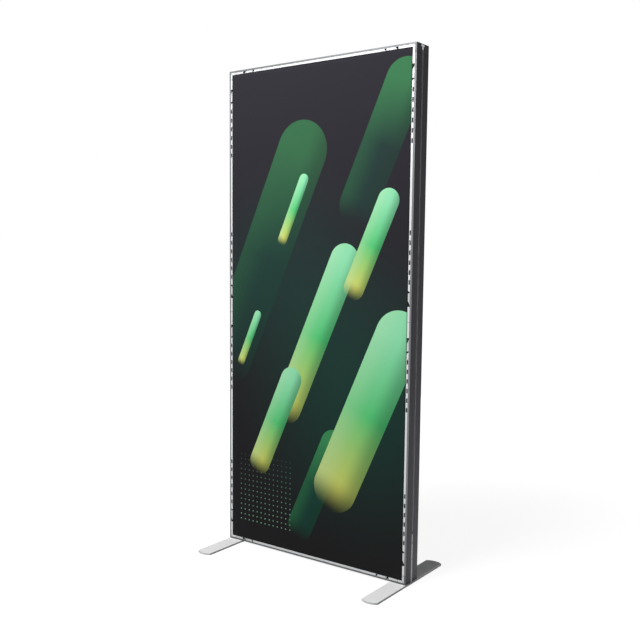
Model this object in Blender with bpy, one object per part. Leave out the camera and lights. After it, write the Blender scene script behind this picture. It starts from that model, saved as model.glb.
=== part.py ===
"""Double-sided fabric lightbox wall on two plate feet, in metres, +Z up, front towards -Y.

Every side of the frame has its own space: u runs inwards from the outer face, v runs from the
front to the rear and w runs along the side. The pieces of a side are children of its empty.
"""
import math

import bmesh
import bpy
from mathutils import Matrix, Vector
from mathutils.geometry import tessellate_polygon

# Frame
FRAME_WIDTH = 0.880
FRAME_HEIGHT = 2.000
FRAME_DEPTH = 0.090
CORNER_LEG = 0.035
FIT_GAP = 0.0003

# Profile section
OUTER_WALL = 0.002
FACE_WALL = 0.002
WEB_WALL = 0.0015
LIP_WIDTH = 0.007
LIP_FALL = 0.0008
SEAM_WIDTH = 0.0005
SEAM_DEPTH = 0.0005
BAND_WIDTH = 0.0085
GROOVE_WIDTH = 0.004
GROOVE_DEPTH = 0.015
GROOVE_STEP = 0.003
SIDE_SLOT_MOUTH = 0.010
SIDE_SLOT_WIDTH = 0.017
SIDE_SLOT_DEPTH = 0.007
CHANNEL_WALL = 0.0012
CHANNEL_OVERLAP = 0.002

# Slots and lock windows in the band
WINDOW_FROM_CORNER = 0.074
WINDOW_FROM_SPLICE = 0.057
WINDOW_LENGTH = 0.060
WINDOW_SLANT = 0.006
SLOT_FROM_WINDOW = 0.090
SLOT_PITCH = 0.036
SLOT_COUNT = 6
SLOT_LENGTH = 0.0175
SLOT_FROM_LIP = 0.0012
SLOT_FROM_GROOVE = 0.0016
SLOT_CORNER = 0.0013
SLOT_ARC_STEPS = 2

# Slide locks
LOCK_REACH = 0.008
LOCK_SLANT = 0.014
LOCK_LENGTH = 0.042
LOCK_PLATE = 0.002
LOCK_TRAVEL = 0.0075
LOCK_PLATE_FROM_LIP = 0.004

# Arms of the corner blocks and the splices
ARM_THICKNESS = 0.0064
ARM_TAPER = 0.0014
ARM_PAST_WINDOW = 0.006
ARM_ROOT = 0.006
ARM_LEAD = 0.002
SPLICE_CORE_HALF = 0.046
SPLICE_CORE_SPREAD = 0.028
SPLICE_CORE_BITE = 0.003

# Splice buttons
BUTTON_FROM_JOINT = 0.032
BUTTON_RADIUS = 0.003
BUTTON_PROUD = 0.002
BUTTON_TRAVEL = 0.003
BUTTON_FLANGE = 0.0045
BUTTON_FLANGE_THICKNESS = 0.0015
BUTTON_BORE_END = 0.0015
BUTTON_CHAMFER = 0.001
BUTTON_CUP = 0.0023
BUTTON_CUP_FLOOR = 0.0012
BUTTON_SKIRT = 0.0032
BUTTON_SKIRT_LENGTH = 0.002
SPRING_WIRE = 0.0004
SPRING_TURNS = 4
SPRING_TURN_POINTS = 8

# Corner holes
CORNER_HOLE_RADIUS = 0.0018
CORNER_HOLE_DEPTH = 0.006

# Keys at the top of the side slots
KEY_HEAD_WIDTH = 0.023
KEY_HEAD_HEIGHT = 0.007
KEY_BELOW_TOP = 0.003
KEY_THICKNESS = 0.003
KEY_LENGTH = 0.017
KEY_NUT_CLEARANCE = 0.001
KEY_RIM_SINK = 0.0005

# Fabric and its edge strips
FABRIC_THICKNESS = 0.0006
FABRIC_HEM = 0.003
STRIP_WIDTH = 0.0025

# LED bars
BAR_FROM_CORNER = 0.070
BAR_WIDTH = 0.020
BAR_THICKNESS = 0.002
TERMINAL_LENGTH = 0.012
TERMINAL_HEIGHT = 0.005
LENS_STRIP_WIDTH = 0.015
LENS_STRIP_THICKNESS = 0.0012
LENS_RADIUS = 0.0062
LENS_TOP_RADIUS = 0.0036
LENS_EDGE = 0.0025
LENS_HEIGHT = 0.006
LENS_PITCH = 0.075
LENS_FROM_TERMINAL = 0.020
LENS_SIDES = 8

# Power supply, inlet and wiring
SUPPLY_LENGTH = 0.240
SUPPLY_WIDTH = 0.040
SUPPLY_HEIGHT = 0.024
SUPPLY_CLIP_LENGTH = 0.014
SUPPLY_CLIP_FROM_END = 0.010
SUPPLY_CLIP_INNER = 0.005
INLET_FROM_CORNER = 0.200
INLET_FROM_MIDDLE = 0.020
INLET_LENGTH = 0.0194
INLET_WIDTH = 0.0114
INLET_DEPTH = 0.013
INLET_WALL = 0.0015
INLET_PIN_SPACING = 0.0086
INLET_PIN = 0.0022
INLET_PIN_LENGTH = 0.008
INLET_FLANGE = 0.003
INLET_FLANGE_THICKNESS = 0.0015
WIRE_RADIUS = 0.00175
WIRE_BEND = 0.036
WIRE_BEND_STEPS = 8
LEAD_BEND = 0.006
LEAD_RISE = 0.045
LEAD_RISE_STEPS = 8
LEAD_FROM_MIDDLE = 0.012

# Feet
FOOT_WIDTH = 0.068
FOOT_LENGTH = 0.495
FOOT_ARC_RISE = 0.012
FOOT_ARC_STEPS = 10
FOOT_THICKNESS = 0.008
FOOT_EDGE_ROUND = 0.0008
TONGUE_LENGTH = 0.1885
FLANGE_SPAN = 0.058
FLANGE_REACH = 0.020
FLANGE_THICKNESS = 0.003
NOTCH_SPAN = 0.018
NOTCH_HEIGHT = 0.0025
NOTCH_REACH = 0.005
CLAMP_SCREW_HEIGHTS = (0.092, 0.156)
CLAMP_SCREW_RADIUS = 0.0025
CLAMP_SCREW_SINK = 0.0006
CLAMP_SOCKET_RADIUS = 0.0014
CLAMP_SOCKET_DEPTH = 0.0022
FLANGE_SCREW_IN = 0.012
FLANGE_SCREW_RADIUS = 0.0025
FLANGE_SCREW_HEAD = 0.005
FLANGE_SCREW_CONE = 0.0025
FLANGE_SCREW_SINK = 0.0005

CUT_OVERRUN = 0.001
SCREW_SIDES = 12
HEX_SIDES = 6

# Derived places
HALF_DEPTH = FRAME_DEPTH / 2
BAND_EDGE = LIP_WIDTH + BAND_WIDTH
GROOVE_END = BAND_EDGE + GROOVE_WIDTH
PROFILE_WIDTH = GROOVE_END + WEB_WALL
CHAMBER_EDGE = BAND_EDGE - WEB_WALL
GROOVE_FLOOR = HALF_DEPTH - GROOVE_DEPTH
SLOT_BOX = SIDE_SLOT_WIDTH / 2 + WEB_WALL
SLOT_BOX_DEPTH = SIDE_SLOT_DEPTH + WEB_WALL
CHANNEL_HALF = BAR_WIDTH / 2 + FIT_GAP
CHANNEL_CEILING = PROFILE_WIDTH + BAR_THICKNESS + 2 * FIT_GAP
CHANNEL_TOP = CHANNEL_CEILING + CHANNEL_WALL
CHANNEL_GAP_HALF = CHANNEL_HALF - CHANNEL_OVERLAP
BASE = FOOT_THICKNESS + FIT_GAP
UPRIGHT_LENGTH = FRAME_HEIGHT / 2 - CORNER_LEG - FIT_GAP * 1.5
RAIL_LENGTH = FRAME_WIDTH - 2 * (CORNER_LEG + FIT_GAP)
LENGTH_START = CORNER_LEG + FIT_GAP
ARM_LOW = OUTER_WALL + FIT_GAP
ARM_HIGH = ARM_LOW + ARM_THICKNESS
ARM_INNER = SLOT_BOX + FIT_GAP
ARM_OUTER = HALF_DEPTH - FACE_WALL - LOCK_PLATE - 2 * FIT_GAP
BUTTON_BORE = BUTTON_FLANGE + FIT_GAP
CORE_LOW = SLOT_BOX_DEPTH + FIT_GAP
CORE_HIGH = PROFILE_WIDTH - WEB_WALL - FIT_GAP
BAR_LOW = PROFILE_WIDTH + FIT_GAP
BAR_HIGH = BAR_LOW + BAR_THICKNESS
BAR_LENGTH = FRAME_HEIGHT / 2 - BAR_FROM_CORNER - FIT_GAP / 2
LENS_COUNT = int((BAR_LENGTH - 2 * (TERMINAL_LENGTH + LENS_FROM_TERMINAL)) / LENS_PITCH) + 1
TERMINAL_HALF = CHANNEL_GAP_HALF - FIT_GAP
WIRE_LEVEL = BAR_LOW + WIRE_RADIUS
SUPPLY_BASE = CHANNEL_TOP + FIT_GAP
LEAD_LEVEL = PROFILE_WIDTH + WIRE_RADIUS + 2 * FIT_GAP


def clear_scene():
    """Remove whatever the scene holds, so that only the model is left."""
    for item in list(bpy.data.objects):
        bpy.data.objects.remove(item, do_unlink=True)


def make_material(name, colour, roughness, metallic):
    """A Principled material with one colour."""
    made = bpy.data.materials.new(name)
    made.use_nodes = True
    shader = made.node_tree.nodes["Principled BSDF"]
    shader.inputs["Base Color"].default_value = (*colour, 1)
    shader.inputs["Roughness"].default_value = roughness
    shader.inputs["Metallic"].default_value = metallic
    made.diffuse_color = (*colour, 1)
    return made


def make_materials():
    """All finishes, by the name of what wears them."""
    return {
        "silver": make_material("satin silver aluminium", (0.72, 0.73, 0.74), 0.38, 0.9),
        "graphite": make_material("graphite coated side", (0.07, 0.075, 0.08), 0.5, 0.3),
        "plate": make_material("foot plate", (0.70, 0.71, 0.70), 0.42, 0.8),
        "steel": make_material("dark steel screw", (0.10, 0.10, 0.11), 0.4, 0.9),
        "spring": make_material("spring wire", (0.45, 0.45, 0.46), 0.3, 1.0),
        "nylon": make_material("black nylon", (0.03, 0.03, 0.03), 0.55, 0.0),
        "print": make_material("printed fabric", (0.03, 0.06, 0.05), 0.8, 0.0),
        "silicone": make_material("clear silicone", (0.75, 0.76, 0.77), 0.5, 0.0),
        "board": make_material("light bar board", (0.85, 0.86, 0.84), 0.45, 0.0),
        "lens": make_material("lens", (0.85, 0.88, 0.90), 0.08, 0.0),
        "case": make_material("supply case", (0.60, 0.61, 0.62), 0.4, 0.7),
        "wire": make_material("wire sheath", (0.85, 0.85, 0.83), 0.5, 0.0),
    }


def add_object(name, data, finishes, parent=None, location=(0, 0, 0)):
    """Link one named object, with its finishes, under its parent."""
    made = bpy.data.objects.new(name, data)
    bpy.context.collection.objects.link(made)
    for finish in finishes:
        data.materials.append(finish)
    made.parent = parent
    made.location = location
    return made


def add_empty(name, location, rotation=(0, 0, 0), parent=None):
    """An empty that carries other objects."""
    made = bpy.data.objects.new(name, None)
    bpy.context.collection.objects.link(made)
    made.location = location
    made.rotation_euler = rotation
    made.parent = parent
    return made


def finish_mesh(name, bm, smooth=False):
    """Turn a bmesh into a mesh whose faces point out."""
    bmesh.ops.recalc_face_normals(bm, faces=bm.faces)
    mesh = bpy.data.meshes.new(name)
    bm.to_mesh(mesh)
    bm.free()
    if smooth:
        mesh.shade_smooth()
        mesh.set_sharp_from_angle(angle=math.radians(35))
    return mesh


def add_cutter(name, bm, target, operation="DIFFERENCE"):
    """Cut, or join, the target with the given bmesh."""
    cutter = add_object(name, finish_mesh(name, bm), (), target.parent, target.location)
    cutter.hide_render = True
    cutter.display_type = "WIRE"
    step = target.modifiers.new(name, "BOOLEAN")
    step.object = cutter
    step.operation = operation
    step.solver = "EXACT"
    return cutter


def along_w(a, b, c):
    """Outline in u and v, length along w."""
    return (a, b, c)


def along_v(a, b, c):
    """Outline in u and w, length along v."""
    return (a, c, b)


def along_u(a, b, c):
    """Outline in v and w, length along u."""
    return (c, a, b)


def level(value):
    """An end of a prism is a plane, or a rule that gives the end at each point."""
    return value if callable(value) else lambda a, b: value


def add_prism(bm, loops, near, far, place=along_w, side_finish=None):
    """A prism of an outline, and of the holes in it, between two ends."""
    ends = []
    for end in (level(near), level(far)):
        ring = [[bm.verts.new(place(a, b, end(a, b))) for a, b in loop] for loop in loops]
        ends.append(ring)
    for index, loop in enumerate(loops):
        count = len(loop)
        for i in range(count):
            j = (i + 1) % count
            face = bm.faces.new((ends[0][index][i], ends[0][index][j],
                                 ends[1][index][j], ends[1][index][i]))
            if side_finish:
                face.material_index = side_finish(index, loop[i], loop[j])
    flat = [[Vector((a, b, 0)) for a, b in loop] for loop in loops]
    triangles = tessellate_polygon(flat)
    for ring in ends:
        corners = [vert for loop in ring for vert in loop]
        for triangle in triangles:
            bm.faces.new([corners[i] for i in triangle])


def add_box(bm, low, high):
    """One box between two corners."""
    outline = [(low[0], low[1]), (high[0], low[1]), (high[0], high[1]), (low[0], high[1])]
    add_prism(bm, [outline], low[2], high[2])


def add_stepped_solid(bm, steps):
    """A solid with square steps, from boxes that are added and cut in turn."""
    levels = [sorted({round(box[end][axis], 7) for _, box in steps for end in (0, 1)})
              for axis in range(3)]
    counts = [len(row) - 1 for row in levels]

    def filled(cell):
        if any(not 0 <= cell[axis] < counts[axis] for axis in range(3)):
            return False
        middle = [(levels[axis][cell[axis]] + levels[axis][cell[axis] + 1]) / 2 for axis in range(3)]
        state = False
        for adds, (low, high) in steps:
            if all(low[axis] < middle[axis] < high[axis] for axis in range(3)):
                state = adds
        return state

    corners = {}

    def corner(key):
        if key not in corners:
            corners[key] = bm.verts.new([levels[axis][key[axis]] for axis in range(3)])
        return corners[key]

    cells = [(i, j, k) for i in range(counts[0]) for j in range(counts[1]) for k in range(counts[2])]
    for cell in cells:
        if not filled(cell):
            continue
        for axis in range(3):
            for side in (0, 1):
                beyond = list(cell)
                beyond[axis] += 2 * side - 1
                if filled(tuple(beyond)):
                    continue
                p, q = (axis + 1) % 3, (axis + 2) % 3
                ring = []
                for dp, dq in ((0, 0), (1, 0), (1, 1), (0, 1)):
                    key = list(cell)
                    key[axis] += side
                    key[p] += dp
                    key[q] += dq
                    ring.append(corner(tuple(key)))
                bm.faces.new(ring)
    bmesh.ops.dissolve_limit(bm, angle_limit=math.radians(1), verts=bm.verts, edges=bm.edges)


def add_turned(bm, profile, sides, centre, place=along_u):
    """Turn a profile of radius and height, closed on its axis at both ends."""
    rings = []
    for radius, height in profile:
        if radius == 0:
            rings.append([bm.verts.new(place(centre[0], centre[1], height))])
            continue
        ring = []
        for i in range(sides):
            angle = math.tau * (i + 0.5) / sides
            a = centre[0] + radius * math.cos(angle)
            b = centre[1] + radius * math.sin(angle)
            ring.append(bm.verts.new(place(a, b, height)))
        rings.append(ring)
    for lower, upper in zip(rings, rings[1:]):
        for i in range(sides):
            j = (i + 1) % sides
            corners = [lower[i % len(lower)], lower[j % len(lower)],
                       upper[j % len(upper)], upper[i % len(upper)]]
            bm.faces.new(list(dict.fromkeys(corners)))


def add_pin(bm, radius, low, high, centre, sides=SCREW_SIDES, place=along_u):
    """A plain round pin or bore."""
    add_turned(bm, [(0, low), (radius, low), (radius, high), (0, high)], sides, centre, place)


def face_points(side):
    """Outline of the front face of the section for side -1, of the rear face for side +1."""
    face = side * HALF_DEPTH
    channel = side * (CHANNEL_HALF + CHANNEL_WALL)
    return [
        (0, face - side * LIP_FALL),
        (LIP_WIDTH, face),
        (LIP_WIDTH, face - side * SEAM_DEPTH),
        (LIP_WIDTH + SEAM_WIDTH, face - side * SEAM_DEPTH),
        (LIP_WIDTH + SEAM_WIDTH, face),
        (BAND_EDGE, face),
        (BAND_EDGE, side * GROOVE_FLOOR),
        (GROOVE_END, side * GROOVE_FLOOR),
        (GROOVE_END, face - side * GROOVE_STEP),
        (PROFILE_WIDTH, face - side * GROOVE_STEP),
        (PROFILE_WIDTH, channel),
        (CHANNEL_TOP, channel),
        (CHANNEL_TOP, side * CHANNEL_GAP_HALF),
        (CHANNEL_CEILING, side * CHANNEL_GAP_HALF),
        (CHANNEL_CEILING, side * CHANNEL_HALF),
        (PROFILE_WIDTH, side * CHANNEL_HALF),
    ]


def section_outline():
    """The section's outside, with the side slot, both fabric grooves and the inner channel."""
    side_slot = [
        (0, SIDE_SLOT_MOUTH / 2),
        (OUTER_WALL, SIDE_SLOT_MOUTH / 2),
        (OUTER_WALL, SIDE_SLOT_WIDTH / 2),
        (SIDE_SLOT_DEPTH, SIDE_SLOT_WIDTH / 2),
        (SIDE_SLOT_DEPTH, -SIDE_SLOT_WIDTH / 2),
        (OUTER_WALL, -SIDE_SLOT_WIDTH / 2),
        (OUTER_WALL, -SIDE_SLOT_MOUTH / 2),
        (0, -SIDE_SLOT_MOUTH / 2),
    ]
    return face_points(-1) + face_points(1)[::-1] + side_slot


def chamber_outline():
    """The hollow inside the section."""
    edge = HALF_DEPTH - FACE_WALL
    floor = GROOVE_FLOOR - WEB_WALL
    inner = PROFILE_WIDTH - WEB_WALL
    half = [(OUTER_WALL, edge), (CHAMBER_EDGE, edge), (CHAMBER_EDGE, floor), (inner, floor)]
    front = [(u, -v) for u, v in half]
    slot_box = [
        (OUTER_WALL, SLOT_BOX),
        (SLOT_BOX_DEPTH, SLOT_BOX),
        (SLOT_BOX_DEPTH, -SLOT_BOX),
        (OUTER_WALL, -SLOT_BOX),
    ]
    return front + half[::-1] + slot_box


def outer_side_finish(index, start, end):
    """The outer side and its slot are coated; the faces and the inside are bare."""
    shallow = max(start[0], end[0]) <= SIDE_SLOT_DEPTH
    in_slot = max(abs(start[1]), abs(end[1])) <= SIDE_SLOT_WIDTH / 2
    on_side = start[0] == end[0] == 0
    return 1 if index == 0 and shallow and (in_slot or on_side) else 0


def slot_outline(middle):
    """A slot in u and w about its middle along w, with rounded corners."""
    near_u = LIP_WIDTH + SLOT_FROM_LIP + SLOT_CORNER
    far_u = BAND_EDGE - SLOT_FROM_GROOVE - SLOT_CORNER
    straight = SLOT_LENGTH / 2 - SLOT_CORNER
    points = []
    for quarter, (centre_u, end) in enumerate(((far_u, 1), (near_u, 1), (near_u, -1), (far_u, -1))):
        for i in range(SLOT_ARC_STEPS + 1):
            angle = math.pi / 2 * (quarter + i / SLOT_ARC_STEPS)
            points.append((centre_u + SLOT_CORNER * math.cos(angle),
                           middle + end * straight + SLOT_CORNER * math.sin(angle)))
    return points


def window_outline(start, heading, side):
    """A lock window in u and w: a square end, and a slanted end away from the joint."""
    lip = LIP_WIDTH + SEAM_WIDTH
    open_edge = BAND_EDGE + CUT_OVERRUN
    far_lip = WINDOW_LENGTH - (WINDOW_SLANT if side > 0 else 0)
    far_band = WINDOW_LENGTH - (WINDOW_SLANT if side < 0 else 0)
    return [
        (lip, start),
        (open_edge, start),
        (open_edge, start + heading * far_band),
        (lip, start + heading * far_lip),
    ]


def add_face_cut(bm, outline, side):
    """A cut of the given outline through one face of the band, just past the face's wall."""
    floor = HALF_DEPTH - FACE_WALL - FIT_GAP
    add_prism(bm, [outline], side * floor, side * (HALF_DEPTH + CUT_OVERRUN), along_v)


def add_window_cuts(bm, start, heading):
    """The lock window in both faces."""
    for side in (-1, 1):
        add_face_cut(bm, window_outline(start, heading, side), side)


def add_slot_cuts(bm, first, heading):
    """A row of slots in both faces."""
    for i in range(SLOT_COUNT):
        for side in (-1, 1):
            add_face_cut(bm, slot_outline(first + heading * i * SLOT_PITCH), side)


def profile_mesh(name, length):
    """A straight length of the section."""
    bm = bmesh.new()
    add_prism(bm, [section_outline(), chamber_outline()], 0, length, along_w, outer_side_finish)
    return finish_mesh(name, bm)


def joint_places(upper):
    """For each end of an upright: where its lock window starts and which way it runs."""
    corner_start = WINDOW_FROM_CORNER - LENGTH_START
    splice_start = UPRIGHT_LENGTH + FIT_GAP / 2 - WINDOW_FROM_SPLICE
    places = [("corner", corner_start, 1), ("middle", splice_start, -1)]
    if upper:
        places = [(end, UPRIGHT_LENGTH - start, -heading) for end, start, heading in places]
    return places


def upright_origin(upper):
    """Where an upright's own w starts, along its side."""
    return FRAME_HEIGHT / 2 + FIT_GAP / 2 if upper else LENGTH_START


def make_upright(name, side, upper, finishes, has_inlet):
    """One of the four lengths of the uprights, with its windows, slots and holes."""
    location = (0, 0, upright_origin(upper))
    upright = add_object(name, profile_mesh(name, UPRIGHT_LENGTH), finishes, side, location)
    cuts = bmesh.new()
    for _, start, heading in joint_places(upper):
        add_window_cuts(cuts, start, heading)
        add_slot_cuts(cuts, start + heading * SLOT_FROM_WINDOW, heading)
    joint_end = -FIT_GAP / 2 if upper else UPRIGHT_LENGTH + FIT_GAP / 2
    heading = 1 if upper else -1
    hole = (0, joint_end + heading * BUTTON_FROM_JOINT)
    add_pin(cuts, BUTTON_RADIUS + FIT_GAP, SIDE_SLOT_DEPTH - CUT_OVERRUN,
            SLOT_BOX_DEPTH + CUT_OVERRUN, hole)
    if has_inlet:
        add_inlet_cuts(cuts)
    add_cutter(name + "_cuts", cuts, upright)
    return upright


def add_inlet_cuts(bm):
    """The inlet's opening in the outer wall, and the way for its lead through the inner wall."""
    middle = INLET_FROM_CORNER - LENGTH_START
    add_box(bm,
            (-CUT_OVERRUN, INLET_FROM_MIDDLE - INLET_WIDTH / 2 - FIT_GAP,
             middle - INLET_LENGTH / 2 - FIT_GAP),
            (OUTER_WALL + CUT_OVERRUN, INLET_FROM_MIDDLE + INLET_WIDTH / 2 + FIT_GAP,
             middle + INLET_LENGTH / 2 + FIT_GAP))
    add_pin(bm, WIRE_RADIUS + 2 * FIT_GAP, PROFILE_WIDTH - WEB_WALL - CUT_OVERRUN,
            PROFILE_WIDTH + CUT_OVERRUN, (INLET_FROM_MIDDLE, middle))


def make_rail(name, side, finishes):
    """The top or bottom rail, one length with a lock window near each end."""
    rail = add_object(name, profile_mesh(name, RAIL_LENGTH), finishes, side, (0, 0, LENGTH_START))
    cuts = bmesh.new()
    start = WINDOW_FROM_CORNER - LENGTH_START
    add_window_cuts(cuts, start, 1)
    add_window_cuts(cuts, RAIL_LENGTH - start, -1)
    add_cutter(name + "_cuts", cuts, rail)
    return rail


def arm_outline(window_start, root):
    """An arm in u and w, with the taper that the slide lock wedges against."""
    taper_start = window_start + LOCK_REACH + LOCK_SLANT / 2 - LOCK_TRAVEL
    taper_end = window_start + LOCK_REACH + LOCK_LENGTH
    tip = window_start + WINDOW_LENGTH + ARM_PAST_WINDOW
    return [
        (ARM_LOW, root),
        (ARM_HIGH, root),
        (ARM_HIGH, taper_start),
        (ARM_HIGH + ARM_TAPER, taper_end),
        (ARM_HIGH + ARM_TAPER, tip - ARM_LEAD),
        (ARM_HIGH + ARM_TAPER - ARM_LEAD, tip),
        (ARM_LOW + ARM_LEAD, tip),
        (ARM_LOW, tip - ARM_LEAD),
    ]


def add_arms(bm, outline, place=along_v):
    """The front and the rear arm of one joint."""
    for side in (-1, 1):
        add_prism(bm, [outline], side * ARM_INNER, side * ARM_OUTER, place)


def swapped(a, b, c):
    """Outline in w and u, length along v, for the leg that lies along u."""
    return (b, c, a)


def corner_mesh(name):
    """Two mitred legs of the section, solid, from the outer corner."""
    outline = section_outline()
    bm = bmesh.new()
    standing = [bm.verts.new((u, v, CORNER_LEG)) for u, v in outline]
    mitre = [bm.verts.new((u, v, u)) for u, v in outline]
    lying = [bm.verts.new((CORNER_LEG, v, u)) for u, v in outline]
    count = len(outline)
    for start, end in ((standing, mitre), (mitre, lying)):
        for i in range(count):
            j = (i + 1) % count
            face = bm.faces.new((start[i], start[j], end[j], end[i]))
            face.material_index = outer_side_finish(0, outline[i], outline[j])
    triangles = tessellate_polygon([[Vector((u, v, 0)) for u, v in outline]])
    for ring in (standing, lying):
        for triangle in triangles:
            bm.faces.new([ring[i] for i in triangle])
    return finish_mesh(name, bm)


def make_corner(name, holder, at_top, finishes):
    """A corner block with four arms, a hole in each mitre and the open end of the side slot."""
    block = add_object(name, corner_mesh(name), finishes, holder)
    arms = bmesh.new()
    outline = arm_outline(WINDOW_FROM_CORNER, CORNER_LEG - ARM_ROOT)
    add_arms(arms, outline)
    add_arms(arms, outline, swapped)
    add_cutter(name + "_arms", arms, block, "UNION")
    cuts = bmesh.new()
    centre = LIP_WIDTH + BAND_WIDTH / 2
    for side in (-1, 1):
        add_pin(cuts, CORNER_HOLE_RADIUS, side * (HALF_DEPTH - CORNER_HOLE_DEPTH),
                side * (HALF_DEPTH + CUT_OVERRUN), (centre, centre), SCREW_SIDES, along_v)
    half = SIDE_SLOT_WIDTH / 2
    slot_way = (-CUT_OVERRUN, SIDE_SLOT_DEPTH + CUT_OVERRUN)
    steps = [(True, ((OUTER_WALL, -half, slot_way[0]), (SIDE_SLOT_DEPTH, half, slot_way[1])))]
    if at_top:
        head = KEY_HEAD_WIDTH / 2 + FIT_GAP
        pocket = KEY_BELOW_TOP + KEY_HEAD_HEIGHT + FIT_GAP
        steps.append((True, ((-CUT_OVERRUN, -head, -CUT_OVERRUN),
                             (KEY_THICKNESS + FIT_GAP, head, pocket))))
    add_stepped_solid(cuts, steps)
    add_cutter(name + "_cuts", cuts, block)
    return block


def splice_core_outline():
    """The middle of a splice in u and v: it joins the two arms behind the side slot."""
    bite = ARM_HIGH - SPLICE_CORE_BITE
    inner = ARM_INNER + SPLICE_CORE_BITE
    half = [(bite, SPLICE_CORE_SPREAD), (bite, inner), (CORE_LOW, inner)]
    rear = [(CORE_HIGH, SPLICE_CORE_SPREAD)] + half
    front = [(u, -v) for u, v in rear]
    return rear + front[::-1]


def splice_arm_outline():
    """Both ends of a splice's arm in u and w."""
    end = arm_outline(WINDOW_FROM_SPLICE, 0)[2:]
    rear_end = [(u, -w) for u, w in end[::-1]]
    return end + rear_end


def make_splice(name, side, finish):
    """The bar inside an upright's mid joint."""
    bm = bmesh.new()
    add_arms(bm, splice_arm_outline())
    splice = add_object(name, finish_mesh(name, bm), (finish,), side, (0, 0, FRAME_HEIGHT / 2))
    core = bmesh.new()
    add_prism(core, [splice_core_outline()], -SPLICE_CORE_HALF, SPLICE_CORE_HALF)
    add_cutter(name + "_core", core, splice, "UNION")
    bores = bmesh.new()
    for end in (-1, 1):
        add_pin(bores, BUTTON_BORE, CORE_LOW - CUT_OVERRUN, CORE_HIGH - BUTTON_BORE_END,
                (0, end * BUTTON_FROM_JOINT))
    add_cutter(name + "_bores", bores, splice)
    return splice


def make_button(name, side, end, finish):
    """A lock button: a cup for its spring, with the flange that keeps it in its bore."""
    tip = SIDE_SLOT_DEPTH - BUTTON_PROUD
    flange = CORE_LOW + FIT_GAP - tip
    back = flange + BUTTON_FLANGE_THICKNESS
    skirt = back + BUTTON_SKIRT_LENGTH
    profile = [(0, 0), (BUTTON_RADIUS - BUTTON_CHAMFER, 0), (BUTTON_RADIUS, BUTTON_CHAMFER),
               (BUTTON_RADIUS, flange), (BUTTON_FLANGE, flange), (BUTTON_FLANGE, back),
               (BUTTON_SKIRT, back), (BUTTON_SKIRT, skirt), (BUTTON_CUP, skirt),
               (BUTTON_CUP, BUTTON_CUP_FLOOR), (0, BUTTON_CUP_FLOOR)]
    bm = bmesh.new()
    add_turned(bm, profile, SCREW_SIDES, (0, 0))
    location = (tip, 0, FRAME_HEIGHT / 2 + end * BUTTON_FROM_JOINT)
    return add_object(name, finish_mesh(name, bm, True), (finish,), side, location)


def make_spring(name, side, end, finish):
    """The coil that stands on the end of a bore and reaches into the button's cup."""
    pressed_floor = SIDE_SLOT_DEPTH - BUTTON_PROUD + BUTTON_CUP_FLOOR + BUTTON_TRAVEL
    low = pressed_floor + FIT_GAP + SPRING_WIRE
    high = CORE_HIGH - BUTTON_BORE_END - FIT_GAP - SPRING_WIRE
    radius = BUTTON_CUP - FIT_GAP - SPRING_WIRE
    count = SPRING_TURNS * SPRING_TURN_POINTS
    points = []
    for i in range(count + 1):
        angle = math.tau * i / SPRING_TURN_POINTS
        rise = low + (high - low) * i / count
        points.append((rise, radius * math.cos(angle), radius * math.sin(angle)))
    curve = wire_curve(name, points, SPRING_WIRE, 0)
    location = (0, 0, FRAME_HEIGHT / 2 + end * BUTTON_FROM_JOINT)
    return add_object(name, curve, (finish,), side, location)


def wire_curve(name, route, radius, resolution):
    """Round wire along a route."""
    curve = bpy.data.curves.new(name, "CURVE")
    curve.dimensions = "3D"
    curve.bevel_depth = radius
    curve.bevel_resolution = resolution
    curve.use_fill_caps = True
    spline = curve.splines.new("POLY")
    spline.points.add(len(route) - 1)
    for point, place in zip(spline.points, route):
        point.co = (*place, 1)
    return curve


def lock_outline():
    """A slide lock in u and v: a pad in each face, joined behind the side slot."""
    low = LIP_WIDTH + SEAM_WIDTH + FIT_GAP
    high = BAND_EDGE - FIT_GAP
    back = CHAMBER_EDGE - FIT_GAP
    under = HALF_DEPTH - FACE_WALL
    plate = under - FIT_GAP
    plate_in = plate - LOCK_PLATE
    lip = LIP_WIDTH - LOCK_PLATE_FROM_LIP
    web = ARM_HIGH + ARM_TAPER + FIT_GAP
    rear = [(back, under), (high, under), (high, HALF_DEPTH), (low, HALF_DEPTH), (low, plate),
            (lip, plate), (lip, plate_in), (web, plate_in)]
    front = [(u, -v) for u, v in rear]
    return rear + front[::-1]


def lock_mesh(name, heading):
    """A slide lock; its w starts at the window's square end and runs with heading."""
    pad_level = HALF_DEPTH - FACE_WALL
    web = ARM_HIGH + ARM_TAPER + FIT_GAP
    outline = lock_outline()
    drop = ARM_TAPER * (LOCK_LENGTH - LOCK_SLANT / 2) / (LOCK_LENGTH - LOCK_SLANT / 2 + LOCK_TRAVEL)
    bm = bmesh.new()
    near_ring = []
    far_ring = []
    for u, v in outline:
        start = LOCK_REACH + LOCK_SLANT / 2
        if abs(v) >= pad_level:
            at_lip = u < (LIP_WIDTH + BAND_EDGE) / 2
            start = LOCK_REACH + (LOCK_SLANT if at_lip == (v < 0) else 0)
        near_u = u - drop if u == web else u
        near_ring.append(bm.verts.new((near_u, v, heading * start)))
        far_ring.append(bm.verts.new((u, v, heading * (LOCK_REACH + LOCK_LENGTH))))
    count = len(outline)
    for i in range(count):
        j = (i + 1) % count
        bm.faces.new((near_ring[i], near_ring[j], far_ring[j], far_ring[i]))
    triangles = tessellate_polygon([[Vector((u, v, 0)) for u, v in outline]])
    for ring in (near_ring, far_ring):
        for triangle in triangles:
            bm.faces.new([ring[i] for i in triangle])
    return finish_mesh(name, bm)


def make_lock(name, side, place, heading, finish):
    """Place a slide lock at its window; it frees the joint by moving against heading."""
    return add_object(name, lock_mesh(name, heading), (finish,), side, (0, 0, place))


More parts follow.
